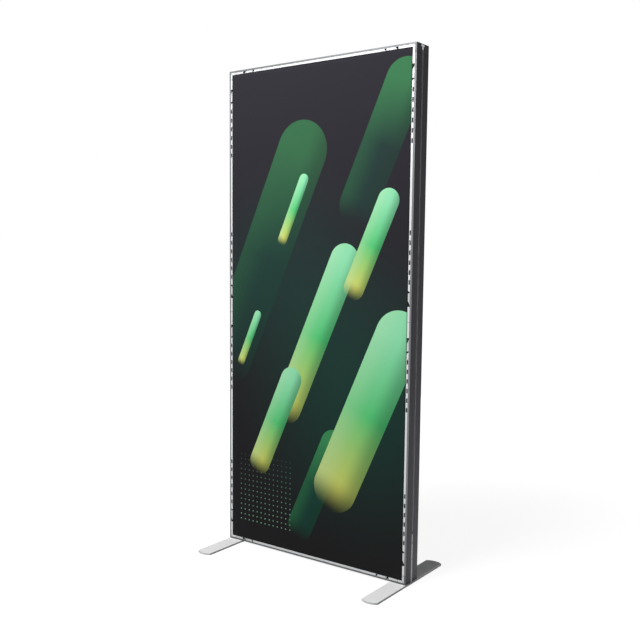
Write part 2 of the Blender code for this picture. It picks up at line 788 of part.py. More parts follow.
def make_key(name, side, finish):
    """The T-shaped key that closes the top of a side slot: rim, head, stem and nut."""
    head = KEY_HEAD_WIDTH / 2
    stem = SIDE_SLOT_MOUTH / 2 - FIT_GAP
    nut = SIDE_SLOT_WIDTH / 2 - FIT_GAP
    nut_start = max(KEY_HEAD_HEIGHT, SIDE_SLOT_DEPTH) + KEY_NUT_CLEARANCE
    bm = bmesh.new()
    add_stepped_solid(bm, [
        (True, ((KEY_RIM_SINK, -head, 0), (KEY_THICKNESS, head, KEY_BELOW_TOP))),
        (True, ((0, -head, -KEY_HEAD_HEIGHT), (KEY_THICKNESS, head, 0))),
        (True, ((0, -stem, -KEY_LENGTH), (KEY_THICKNESS, stem, -KEY_HEAD_HEIGHT))),
        (True, ((OUTER_WALL + FIT_GAP, -nut, -KEY_LENGTH),
                (SIDE_SLOT_DEPTH - FIT_GAP, nut, -nut_start))),
    ])
    top = (0, 0, FRAME_HEIGHT - KEY_BELOW_TOP)
    return add_object(name, finish_mesh(name, bm), (finish,), side, top)


def make_fabric(name, face, finish):
    """A stretched fabric with its hem turned into the groove all round."""
    edge = BAND_EDGE + FIT_GAP
    half_width = FRAME_WIDTH / 2 - edge
    low, high = BASE + edge, BASE + FRAME_HEIGHT - edge
    outer = face * HALF_DEPTH
    inner = face * (HALF_DEPTH - FABRIC_THICKNESS)
    hem = face * (HALF_DEPTH - FABRIC_HEM)
    near, far = sorted((outer, hem))
    sheet_near, sheet_far = sorted((inner, hem))
    rim = FABRIC_THICKNESS
    bm = bmesh.new()
    add_stepped_solid(bm, [
        (True, ((-half_width, near, low), (half_width, far, high))),
        (False, ((-half_width + rim, sheet_near, low + rim),
                 (half_width - rim, sheet_far, high - rim))),
    ])
    return add_object(name, finish_mesh(name, bm), (finish,))


def rectangle(half_width, low, high):
    """An upright rectangle in x and z."""
    return [(-half_width, low), (half_width, low), (half_width, high), (-half_width, high)]


def make_edge_strip(name, face, finish):
    """The flat strip, mitred and joined at the corners, that holds a fabric's hem in the groove."""
    edge = BAND_EDGE + 2 * FIT_GAP + FABRIC_THICKNESS
    inner = edge + STRIP_WIDTH
    half = FRAME_WIDTH / 2
    top = BASE + FRAME_HEIGHT
    outline = rectangle(half - edge, BASE + edge, top - edge)
    opening = rectangle(half - inner, BASE + inner, top - inner)
    outer = face * (HALF_DEPTH - FABRIC_THICKNESS - FIT_GAP)
    bm = bmesh.new()
    add_prism(bm, [outline, opening], outer, face * (GROOVE_FLOOR + FIT_GAP), along_v)
    return add_object(name, finish_mesh(name, bm), (finish,))


def make_light_bar(name, side, start, finish):
    """A board in the inner channel, with a terminal at each end; the two bars meet end to end."""
    block = BAR_LENGTH - TERMINAL_LENGTH
    top = BAR_LOW + TERMINAL_HEIGHT
    bm = bmesh.new()
    add_stepped_solid(bm, [
        (True, ((BAR_LOW, -BAR_WIDTH / 2, 0), (BAR_HIGH, BAR_WIDTH / 2, BAR_LENGTH))),
        (True, ((BAR_LOW, -TERMINAL_HALF, 0), (top, TERMINAL_HALF, TERMINAL_LENGTH))),
        (True, ((BAR_LOW, -TERMINAL_HALF, block), (top, TERMINAL_HALF, BAR_LENGTH))),
    ])
    return add_object(name, finish_mesh(name, bm), (finish,), side, (0, 0, start))


def make_lens_strip(name, side, start, finish):
    """The moulded strip of lenses on a light bar, between its terminals."""
    base = BAR_HIGH + FIT_GAP
    strip_top = base + LENS_STRIP_THICKNESS
    end = TERMINAL_LENGTH + FIT_GAP
    half = LENS_STRIP_WIDTH / 2
    bm = bmesh.new()
    add_box(bm, (base, -half, end), (strip_top, half, BAR_LENGTH - end))
    strip = add_object(name, finish_mesh(name, bm, True), (finish,), side, (0, 0, start))
    profile = [(0, base + LENS_STRIP_THICKNESS / 2), (LENS_RADIUS, base + LENS_STRIP_THICKNESS / 2),
               (LENS_RADIUS, base + LENS_EDGE), (LENS_TOP_RADIUS, base + LENS_HEIGHT),
               (0, base + LENS_HEIGHT)]
    domes = bmesh.new()
    for i in range(LENS_COUNT):
        place = BAR_LENGTH / 2 + (i - (LENS_COUNT - 1) / 2) * LENS_PITCH
        add_turned(domes, profile, LENS_SIDES, (0, place))
    add_cutter(name + "_domes", domes, strip, "UNION")
    return strip


def make_supply(side, finish):
    """The power supply on the bottom rail's channel; its clips straddle the wiring."""
    half = SUPPLY_LENGTH / 2
    steps = [(True, ((SUPPLY_BASE, -SUPPLY_WIDTH / 2, -half),
                     (SUPPLY_BASE + SUPPLY_HEIGHT, SUPPLY_WIDTH / 2, half)))]
    for end in (-1, 1):
        w_ends = sorted((end * (half - SUPPLY_CLIP_FROM_END),
                         end * (half - SUPPLY_CLIP_FROM_END - SUPPLY_CLIP_LENGTH)))
        for across in (-1, 1):
            leg = sorted((across * SUPPLY_CLIP_INNER, across * TERMINAL_HALF))
            toe = sorted((across * SUPPLY_CLIP_INNER, across * BAR_WIDTH / 2))
            steps.append((True, ((BAR_LOW, leg[0], w_ends[0]), (SUPPLY_BASE, leg[1], w_ends[1]))))
            steps.append((True, ((BAR_LOW, toe[0], w_ends[0]), (BAR_HIGH, toe[1], w_ends[1]))))
    bm = bmesh.new()
    add_stepped_solid(bm, steps)
    mesh = finish_mesh("power_supply", bm)
    return add_object("power_supply", mesh, (finish,), side, (0, 0, FRAME_WIDTH / 2))


def make_inlet(side, finish):
    """A two-pin mains inlet, held behind the outer wall by its flange."""
    half_w, half_v = INLET_LENGTH / 2, INLET_WIDTH / 2
    room_w, room_v = half_w - INLET_WALL, half_v - INLET_WALL
    floor = INLET_DEPTH - INLET_WALL
    flange = OUTER_WALL + FIT_GAP
    steps = [
        (True, ((FIT_GAP, -half_v, -half_w), (INLET_DEPTH, half_v, half_w))),
        (True, ((flange, -half_v - INLET_FLANGE, -half_w - INLET_FLANGE),
                (flange + INLET_FLANGE_THICKNESS, half_v + INLET_FLANGE, half_w + INLET_FLANGE))),
        (False, ((FIT_GAP, -room_v, -room_w), (floor, room_v, room_w))),
    ]
    pin = INLET_PIN / 2
    for end in (-1, 1):
        middle = end * INLET_PIN_SPACING / 2
        steps.append((True, ((floor - INLET_PIN_LENGTH, -pin, middle - pin), (floor, pin, middle + pin))))
    bm = bmesh.new()
    add_stepped_solid(bm, steps)
    location = (0, INLET_FROM_MIDDLE, INLET_FROM_CORNER)
    return add_object("power_inlet", finish_mesh("power_inlet", bm), (finish,), side, location)


def corner_bend(inset, across):
    """A quarter turn in a bottom corner, from the run down a side to the run along the bottom."""
    centre = inset + WIRE_BEND
    points = []
    for i in range(WIRE_BEND_STEPS + 1):
        angle = math.pi + math.pi / 2 * i / WIRE_BEND_STEPS
        points.append((centre + WIRE_BEND * math.cos(angle), across, centre + WIRE_BEND * math.sin(angle)))
    return points


def make_wiring(finish):
    """The low-voltage wiring, from the left light bars along the bottom to the right ones."""
    left = [(WIRE_LEVEL, 0, BAR_FROM_CORNER - FIT_GAP)] + corner_bend(WIRE_LEVEL, 0)
    right = [(FRAME_WIDTH - u, v, w) for u, v, w in left[::-1]]
    curve = wire_curve("wiring_harness", left + right, WIRE_RADIUS, 2)
    return add_object("wiring_harness", curve, (finish,), None, (-FRAME_WIDTH / 2, 0, BASE))


def make_mains_lead(side, finish):
    """The lead from the inlet, through the inner wall and down to the power supply's end."""
    across = INLET_FROM_MIDDLE
    run = LEAD_LEVEL + LEAD_BEND
    points = [(INLET_DEPTH + FIT_GAP, across, INLET_FROM_CORNER)]
    for i in range(WIRE_BEND_STEPS + 1):
        angle = math.pi / 2 - math.pi / 2 * i / WIRE_BEND_STEPS
        points.append((LEAD_LEVEL + LEAD_BEND * math.cos(angle), across,
                       INLET_FROM_CORNER - LEAD_BEND + LEAD_BEND * math.sin(angle)))
    points.extend(corner_bend(run, across))
    end_u = FRAME_WIDTH / 2 - SUPPLY_LENGTH / 2 - FIT_GAP
    end_w = SUPPLY_BASE + SUPPLY_HEIGHT / 2
    for i in range(LEAD_RISE_STEPS + 1):
        share = i / LEAD_RISE_STEPS
        eased = share * share * (3 - 2 * share)
        points.append((end_u - LEAD_RISE * (1 - share),
                       across + (LEAD_FROM_MIDDLE - across) * eased,
                       run + (end_w - run) * eased))
    curve = wire_curve("mains_lead", points, WIRE_RADIUS, 2)
    return add_object("mains_lead", curve, (finish,), side)


def foot_outline():
    """The foot plate in u and v, with bowed ends."""
    half_chord = FOOT_WIDTH / 2
    radius = (half_chord ** 2 + FOOT_ARC_RISE ** 2) / (2 * FOOT_ARC_RISE)
    sweep = math.asin(half_chord / radius)
    centre_v = FOOT_LENGTH / 2 + FOOT_ARC_RISE - radius
    rear = []
    for i in range(FOOT_ARC_STEPS + 1):
        angle = sweep - 2 * sweep * i / FOOT_ARC_STEPS
        rear.append((half_chord + radius * math.sin(angle), centre_v + radius * math.cos(angle)))
    return rear + [(u, -v) for u, v in rear[::-1]]


def flange_screw_profile(grow, low, high):
    """A countersunk screw, or its hole, from the underside up."""
    head = FLANGE_SCREW_HEAD + grow
    shank = FLANGE_SCREW_RADIUS + grow
    shoulder = FLANGE_SCREW_SINK + FLANGE_SCREW_CONE + grow
    straight = [(head, FLANGE_SCREW_SINK + grow)] if grow else []
    return [(0, low), (head, low)] + straight + [(shank, shoulder), (shank, high), (0, high)]


def make_foot_plate(name, foot, finish):
    """The flat plate, with a pocket for the bracket's flange and the screws' holes."""
    bm = bmesh.new()
    add_prism(bm, [foot_outline()], 0, FOOT_THICKNESS)
    bmesh.ops.dissolve_limit(bm, angle_limit=math.radians(1), verts=bm.verts, edges=bm.edges)
    plate = add_object(name, finish_mesh(name, bm), (finish,), foot)
    rounding = plate.modifiers.new("edge rounding", "BEVEL")
    rounding.width = FOOT_EDGE_ROUND
    rounding.segments = 2
    rounding.limit_method = "ANGLE"
    rounding.angle_limit = math.radians(50)
    floor = FOOT_THICKNESS - FLANGE_THICKNESS - FIT_GAP
    span = FLANGE_SPAN / 2 + FIT_GAP
    cuts = bmesh.new()
    add_stepped_solid(cuts, [
        (True, ((-CUT_OVERRUN, -span, floor),
                (FLANGE_REACH + FIT_GAP, span, FOOT_THICKNESS + CUT_OVERRUN))),
        (True, ((-CUT_OVERRUN, -NOTCH_SPAN / 2, floor - NOTCH_HEIGHT),
                (NOTCH_REACH, NOTCH_SPAN / 2, FOOT_THICKNESS + CUT_OVERRUN))),
    ])
    add_cutter(name + "_pocket", cuts, plate)
    holes = bmesh.new()
    profile = flange_screw_profile(FIT_GAP, -CUT_OVERRUN, floor + CUT_OVERRUN)
    add_turned(holes, profile, SCREW_SIDES, (FLANGE_SCREW_IN, 0), along_w)
    add_cutter(name + "_hole", holes, plate)
    return plate


def make_foot_bracket(name, foot, finish):
    """The tongue in the side slot and the flange in the plate, one bent piece."""
    span = FLANGE_SPAN / 2
    rib = SIDE_SLOT_MOUTH / 2 - FIT_GAP
    tongue = SIDE_SLOT_WIDTH / 2 - FIT_GAP
    top = BASE + TONGUE_LENGTH
    low = FOOT_THICKNESS - FLANGE_THICKNESS
    bm = bmesh.new()
    add_stepped_solid(bm, [
        (True, ((0, -span, low), (FLANGE_REACH, span, FOOT_THICKNESS))),
        (True, ((0, -rib, low), (OUTER_WALL + FIT_GAP, rib, top))),
        (True, ((OUTER_WALL + FIT_GAP, -tongue, low), (SIDE_SLOT_DEPTH - FIT_GAP, tongue, top))),
    ])
    bracket = add_object(name, finish_mesh(name, bm), (finish,), foot)
    holes = bmesh.new()
    add_pin(holes, FLANGE_SCREW_RADIUS + FIT_GAP, low - CUT_OVERRUN,
            FOOT_THICKNESS + CUT_OVERRUN, (FLANGE_SCREW_IN, 0), SCREW_SIDES, along_w)
    for height in CLAMP_SCREW_HEIGHTS:
        add_pin(holes, CLAMP_SCREW_RADIUS + FIT_GAP, -CUT_OVERRUN,
                SIDE_SLOT_DEPTH + CUT_OVERRUN, (0, BASE + height))
    add_cutter(name + "_holes", holes, bracket)
    return bracket


def make_flange_screw(name, foot, finish):
    """The countersunk screw, from below, that holds a bracket in its plate."""
    bm = bmesh.new()
    profile = flange_screw_profile(0, FLANGE_SCREW_SINK, FOOT_THICKNESS)
    add_turned(bm, profile, SCREW_SIDES, (0, 0), along_w)
    mesh = finish_mesh(name, bm, True)
    return add_object(name, mesh, (finish,), foot, (FLANGE_SCREW_IN, 0, 0))


def make_clamp_screw(name, foot, height, finish):
    """A grub screw in the tongue, with its hexagon socket towards the outside."""
    head = CLAMP_SCREW_SINK
    tip = SIDE_SLOT_DEPTH - FIT_GAP
    bm = bmesh.new()
    add_pin(bm, CLAMP_SCREW_RADIUS, head, tip, (0, 0))
    screw = add_object(name, finish_mesh(name, bm, True), (finish,), foot, (0, 0, BASE + height))
    socket = bmesh.new()
    add_pin(socket, CLAMP_SOCKET_RADIUS, head - CUT_OVERRUN, head + CLAMP_SOCKET_DEPTH, (0, 0), HEX_SIDES)
    add_cutter(name + "_socket", socket, screw)
    return screw


def make_sides():
    """One empty for each side of the frame, at the outer corner where its w starts."""
    half = FRAME_WIDTH / 2
    quarter = math.pi / 2
    top = BASE + FRAME_HEIGHT
    return {
        "left": add_empty("left_side", (-half, 0, BASE)),
        "right": add_empty("right_side", (half, 0, BASE), (0, 0, math.pi)),
        "bottom": add_empty("bottom_side", (half, 0, BASE), (0, -quarter, 0)),
        "top": add_empty("top_side", (-half, 0, top), (0, quarter, 0)),
    }


def make_corner_holders():
    """One empty for each outer corner, turned so that the block's legs run inwards."""
    half = FRAME_WIDTH / 2
    top = BASE + FRAME_HEIGHT
    return {
        "bottom_left": add_empty("bottom_left_holder", (-half, 0, BASE)),
        "bottom_right": add_empty("bottom_right_holder", (half, 0, BASE), (0, 0, math.pi)),
        "top_left": add_empty("top_left_holder", (-half, 0, top), (math.pi, 0, 0)),
        "top_right": add_empty("top_right_holder", (half, 0, top), (0, math.pi, 0)),
    }


def make_upright_side(name, side, finishes):
    """Everything that one upright of the frame carries."""
    profile = (finishes["silver"], finishes["graphite"])
    bar_starts = (BAR_FROM_CORNER, FRAME_HEIGHT / 2 + FIT_GAP / 2)
    for level_name, upper in (("lower", False), ("upper", True)):
        stem = f"{name}_{level_name}"
        make_upright(stem + "_upright", side, upper, profile, name == "left" and not upper)
        origin = upright_origin(upper)
        for end, start, heading in joint_places(upper):
            make_lock(f"{stem}_{end}_lock", side, origin + start, heading, finishes["silver"])
        direction = 1 if upper else -1
        make_button(stem + "_splice_button", side, direction, finishes["steel"])
        make_spring(stem + "_button_spring", side, direction, finishes["spring"])
        make_light_bar(stem + "_led_bar", side, bar_starts[upper], finishes["board"])
        make_lens_strip(stem + "_lens_strip", side, bar_starts[upper], finishes["lens"])
    make_splice(name + "_splice", side, finishes["nylon"])
    make_key(name + "_slot_key", side, finishes["silver"])


def make_rails(sides, finishes):
    """The top and bottom rails and their locks."""
    profile = (finishes["silver"], finishes["graphite"])
    far = FRAME_WIDTH - WINDOW_FROM_CORNER
    for name, near_end, far_end in (("top", "left", "right"), ("bottom", "right", "left")):
        make_rail(name + "_rail", sides[name], profile)
        make_lock(f"{name}_rail_{near_end}_lock", sides[name], WINDOW_FROM_CORNER, 1, finishes["silver"])
        make_lock(f"{name}_rail_{far_end}_lock", sides[name], far, -1, finishes["silver"])


def make_foot(name, location, rotation, finishes):
    """One foot; its empty stands on the axis that it slides along."""
    foot = add_empty(name + "_foot", location, rotation)
    make_foot_plate(name + "_foot_plate", foot, finishes["plate"])
    make_foot_bracket(name + "_foot_bracket", foot, finishes["silver"])
    make_flange_screw(name + "_foot_flange_screw", foot, finishes["steel"])
    for place, height in zip(("lower", "upper"), CLAMP_SCREW_HEIGHTS):
        make_clamp_screw(f"{name}_foot_{place}_clamp_screw", foot, height, finishes["steel"])


def build():
    """Make the whole lightbox."""
    clear_scene()
    finishes = make_materials()
    sides = make_sides()
    for name in ("left", "right"):
        make_upright_side(name, sides[name], finishes)
    make_rails(sides, finishes)
    for name, holder in make_corner_holders().items():
        make_corner(name + "_corner", holder, name.startswith("top"),
                    (finishes["silver"], finishes["graphite"]))
    for name, face in (("front", -1), ("rear", 1)):
        make_fabric(name + "_graphic", face, finishes["print"])
        make_edge_strip(name + "_edge_strip", face, finishes["silicone"])
    make_supply(sides["bottom"], finishes["case"])
    make_inlet(sides["left"], finishes["nylon"])
    make_wiring(finishes["wire"])
    make_mains_lead(sides["left"], finishes["wire"])
    make_foot("left", (-FRAME_WIDTH / 2, 0, 0), (0, 0, 0), finishes)
    make_foot("right", (FRAME_WIDTH / 2, 0, 0), (0, 0, math.pi), finishes)


build()
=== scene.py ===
"""Looks of the fabric lightbox wall: finishes, stretched prints, studio and camera, in metres."""
import math

import bmesh
import bpy
from mathutils import Matrix, Vector


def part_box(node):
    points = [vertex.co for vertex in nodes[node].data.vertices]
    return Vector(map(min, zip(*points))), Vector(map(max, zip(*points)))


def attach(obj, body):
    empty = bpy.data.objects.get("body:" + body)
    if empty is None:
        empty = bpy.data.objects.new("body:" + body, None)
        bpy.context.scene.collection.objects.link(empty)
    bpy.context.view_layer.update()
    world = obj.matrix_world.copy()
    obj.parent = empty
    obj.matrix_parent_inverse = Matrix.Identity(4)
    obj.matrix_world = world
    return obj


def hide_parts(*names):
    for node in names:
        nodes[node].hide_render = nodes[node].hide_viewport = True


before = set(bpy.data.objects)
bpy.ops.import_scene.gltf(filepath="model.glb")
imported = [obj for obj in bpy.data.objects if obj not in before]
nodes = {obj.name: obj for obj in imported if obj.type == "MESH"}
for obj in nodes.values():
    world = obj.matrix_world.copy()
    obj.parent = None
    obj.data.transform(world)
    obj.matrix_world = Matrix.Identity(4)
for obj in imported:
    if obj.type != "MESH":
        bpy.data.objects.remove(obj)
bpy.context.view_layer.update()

MM = 0.001


def srgb(red, green, blue):
    """A colour of a picture, from 0 to 255, in the renderer's linear numbers."""
    def linear(value):
        share = value / 255
        return share / 12.92 if share <= 0.04045 else ((share + 0.055) / 1.055) ** 2.4
    return (linear(red), linear(green), linear(blue))


# Camera, fitted to the photograph: pixels from the image's top left, angles in degrees
IMAGE_SIZE = 640
SENSOR_WIDTH = 36
FOCAL_PIXELS = 853.25
CENTRE_PIXEL = (280.57, 339.67)
CAMERA_PLACE = (1.9673, -2.804, 1.2706)
CAMERA_YAW = 37.682
CAMERA_PITCH = -5.998
CAMERA_ROLL = 0.298
CLIP_START = 0.01

# Frame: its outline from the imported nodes, and the profile's sizes as in CAD
FRAME_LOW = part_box("bottom_left_corner")[0]
FRAME_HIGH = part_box("top_right_corner")[1]
HALF_WIDTH = FRAME_HIGH.x
HALF_DEPTH = FRAME_HIGH.y
MID_JOINT = (FRAME_LOW.z + FRAME_HIGH.z) / 2
WALL = 2 * MM
LIP_WIDTH = 7 * MM
LIP_FALL = 1 * MM
GROOVE_END = 19.5 * MM
SIDE_SLOT_DEPTH = 7 * MM
SIDE_SLOT_HALF = 8.6 * MM
KEY_POCKET_HALF = 12 * MM
KEY_POCKET_END = 12 * MM
KEY_RIM = 3 * MM
CORNER_LEG = 35 * MM
ON_FACE = 0.05 * MM

# How far a face's normal lies along the depth: above the first number the face looks to the
# front or rear, and below the second to a side, the top or the foot
FRONT_NORMAL = 0.9
SIDE_NORMAL = 0.5

# Painted shade beside the frame's joints, drawn wider than their narrow gaps, with some dust: full
# within the first distance, gone by the second
SEAM_CLEAR = 0.4 * MM
SEAM_SHADE_END = 1.4 * MM
SEAM_SHADE_TONE = 0.55

# The kinds of face that a frame piece has, in the order of its materials
BAND_FACE, LIP_FACE, SIDE_FACE, SLOT_FACE, HOLLOW_FACE = range(5)

# Colours of metal, paint and plastic
# One anodised finish, toned per piece as painted light and shade: lighter on the uprights than on
# the rails and corners
SILVER_TONED_BY_LIGHT = {"upright": (0.77, 0.78, 0.79), "rail": (0.65, 0.66, 0.67), "corner": (0.69, 0.70, 0.71)}
LIP_GREY_TONED_BY_LIGHT = {"upright": (0.19, 0.195, 0.205),
            "rail": (0.12, 0.123, 0.129),
            "corner": (0.14, 0.143, 0.150)}
GRAPHITE = (0.042, 0.042, 0.0465)
# The side slot's lining: lighter than the graphite coat, as painted light on its walls
SLOT_LIGHT_TONE = (0.48, 0.48, 0.49)
# Dark as painted shade: the profile's hollow, and the corners' arms and the locks' bodies seen
# through its windows
HOLLOW_SHADE_GREY = (0.075, 0.075, 0.078)
INNER_SHADE_BLACK = (0.012, 0.012, 0.013)
LOCK_SILVER = (0.64, 0.65, 0.66)
KEY_SILVER = (0.50, 0.51, 0.52)
# The foot bracket's silver, darkened as painted shade
BRACKET_SHADED_SILVER = (0.14, 0.142, 0.145)
FOOT_PAINT = (0.90, 0.90, 0.905)
SCREW_BLACK = (0.035, 0.035, 0.038)
BUTTON_BLACK = (0.05, 0.05, 0.055)
SPRING_STEEL = (0.55, 0.55, 0.56)
NYLON_BLACK = (0.022, 0.022, 0.023)
INLET_BLACK = (0.02, 0.02, 0.021)
SILICONE_MILK = (0.72, 0.73, 0.74)
SUPPLY_GREY = (0.55, 0.56, 0.57)
SHEATH_CREAM = (0.78, 0.78, 0.76)
LENS_TINTS = ((0.86, 0.90, 0.92), (0.96, 0.98, 0.99))
BOARD_TINTS = ((0.80, 0.81, 0.79), (0.86, 0.87, 0.85))
PAD_COPPER = (0.62, 0.50, 0.36)
BLACK = (0, 0, 0)

# Finishes: specular levels, fine detail, and the ranges of noise that a finish spreads over
GRAPHITE_SHINE = 0.015
SHADED_BODY_SHINE = 0.1
ARM_SHINE = 0.2
LINES_ACROSS = 900
LINES_ALONG = 6
PAD_STEP = 25 * MM
PAD_HALF = 2 * MM
PAD_EDGE = 2.4 * MM
NOISE_MOST = (0.3, 0.7)
NOISE_WIDE = (0.25, 0.75)
NOISE_NARROW = (0.35, 0.65)
CLOUD_SHARE = 0.25
SMUDGE_SPAN = (0.52, 0.78)
SMUDGE_ROUGHNESS = 0.08
MOTTLE_TONE = 0.93
FLAKE_SPAN = (0.4, 0.65)
FLAKE_TONE = 0.9
DUST_SPAN = (0.45, 0.75)
DUST_TONE = 0.82
DUST_SHARE = 0.3
DUST_ROUGHNESS = 0.1
CLOUD_GAIN = 1.18
CLOUD_LIFT = 0.004
LENS_ROUGHNESS = (0.05, 0.12)
LENS_IOR = 1.49
LENS_TRANSMISSION = 0.85
PAD_SHARE = 0.35
BOARD_ROUGHNESS = (0.36, 0.48)

# Stretched fabric: each roll step is an inset, and a share of the hem's depth
FABRIC_THICKNESS = 0.4 * MM
FABRIC_INSET = HALF_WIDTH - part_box("front_graphic")[1].x
HEM_DEPTH = 3 * MM
EDGE_ROLL = ((0, 1), (0, 0.36), (0.4 * MM, 0.1), (1.4 * MM, 0))
GRID_ACROSS = 48
GRID_UP = 110
TENSION_DIP = 0.25 * MM
PUCKER_REACH = 45 * MM
PUCKER_PITCH = 31 * MM
PUCKER_DEPTH = 0.16 * MM
WALE_WIDTH = 0.9 * MM
COURSE_HEIGHT = 0.75 * MM
YARN_SHADE = 0.08
KNIT_ROUGHNESS = (0.70, 0.84)
KNIT_SHINE = 0.10
# Painted shade where the fabric's edge turns into the groove
HEM_SHADE_FROM = 1.2 * MM
HEM_SHADE_END = 4.2 * MM
HEM_SHADE = 0.75

# The print: a generic pattern of leaning bars. A place is the distance from the frame's middle
# and the height, and a lean is in degrees
MINT = srgb(150, 236, 184)
GREEN = srgb(92, 212, 128)
LIME = srgb(222, 226, 112)
PALE = srgb(200, 246, 196)
TEAL = srgb(20, 92, 76)
SHADE = srgb(14, 84, 52)
# The print's dark ground, lighter toward the top as painted light
GROUND_LOW_SHADED = srgb(29, 28, 30)
GROUND_HIGH_LIT = srgb(44, 42, 49)
BRIGHT = {"tones": (LIME, GREEN, MINT), "shine": PALE}
DIM = {"tones": (TEAL, TEAL, GREEN), "shine": GREEN}
EDGE_BLUR = 0.5 * MM
TAIL_SHARE = -0.85
BAR_LIGHT = 0.34
BAR_LIGHT_END = 0.25
BAR_SHADE = 0.55
BAR_SHADE_START = 0.05
DOT_PITCH = 22 * MM
DOT_RADIUS = 2.6 * MM
DOT_STRENGTH = 0.7
DOT_FADE = 0.1
FRONT_LEAN = 24
FRONT_BARS = (
    {"centre": (-0.250, 1.240), "half_length": 0.460, "radius": 0.120, **DIM, "strength": 0.20},
    {"centre": (0.300, 1.660), "half_length": 0.240, "radius": 0.084, **DIM, "strength": 0.26},
    {"centre": (0.022, 0.320), "half_length": 0.200, "radius": 0.060, **DIM, "strength": 0.40},
    {"centre": (0.250, 0.640), "half_length": 0.340, "radius": 0.100, **BRIGHT},
    {"centre": (0.010, 0.930), "half_length": 0.330, "radius": 0.066, **BRIGHT},
    {"centre": (0.262, 1.290), "half_length": 0.180, "radius": 0.046, **BRIGHT},
    {"centre": (-0.190, 0.560), "half_length": 0.200, "radius": 0.052, **BRIGHT},
    {"centre": (-0.105, 1.430), "half_length": 0.130, "radius": 0.022, **BRIGHT},
    {"centre": (-0.330, 0.900), "half_length": 0.110, "radius": 0.018, **BRIGHT},
)
FRONT_GLOWS = (
    {"centre": (0.230, 0.700), "reach": 0.70, "strength": 0.32},
    {"centre": (-0.120, 1.150), "reach": 0.55, "strength": 0.20},
)
FRONT_DOTS = {"corner": (-0.374, 0.110), "size": (0.264, 0.286)}
REAR_LEAN = -24
REAR_BARS = (
    {"centre": (0.240, 1.300), "half_length": 0.420, "radius": 0.110, **DIM, "strength": 0.20},
    {"centre": (-0.220, 0.700), "half_length": 0.330, "radius": 0.096, **BRIGHT},
    {"centre": (0.060, 0.980), "half_length": 0.280, "radius": 0.058, **BRIGHT},
    {"centre": (-0.230, 1.380), "half_length": 0.150, "radius": 0.036, **BRIGHT},
    {"centre": (0.230, 0.560), "half_length": 0.150, "radius": 0.026, **BRIGHT},
)
REAR_GLOWS = ({"centre": (-0.160, 0.800), "reach": 0.75, "strength": 0.40},)
REAR_DOTS = {"corner": (0.110, 0.110), "size": (0.264, 0.286)}

# Studio: the floor turns whiter between two distances from the object's middle
FLOOR_SIZE = 60
FLOOR_TONE = 0.30
FLOOR_ROUGHNESS = 0.9
FLOOR_WHITE_NEAR = 0.88
FLOOR_WHITE_FAR = 1.0
WHITE_FROM = 1.1
WHITE_BY = 3.2
WORLD_LIGHT = 0.14
LAMPS = (
    {"name": "key", "place": (-0.9, -2.8, 3.8), "target": (0, 0, 1.2),
     "size": (2.4, 2.4), "watts": 112, "mirrored": True},
    {"name": "high", "place": (-0.2, -1.5, 3.8), "target": (0.1, -0.3, 0),
     "size": (1.4, 1.6), "watts": 60, "mirrored": True},
    {"name": "rear fill", "place": (-1.0, 4.0, 0.35), "target": (0, 0, 0.9),
     "size": (2.4, 0.6), "watts": 26, "mirrored": True},
    {"name": "floor bounce", "place": (2.205, 1.23, 0.004), "target": (2.205, 1.23, 2),
     "size": (3.47, 2.54), "watts": 124, "mirrored": False},
)


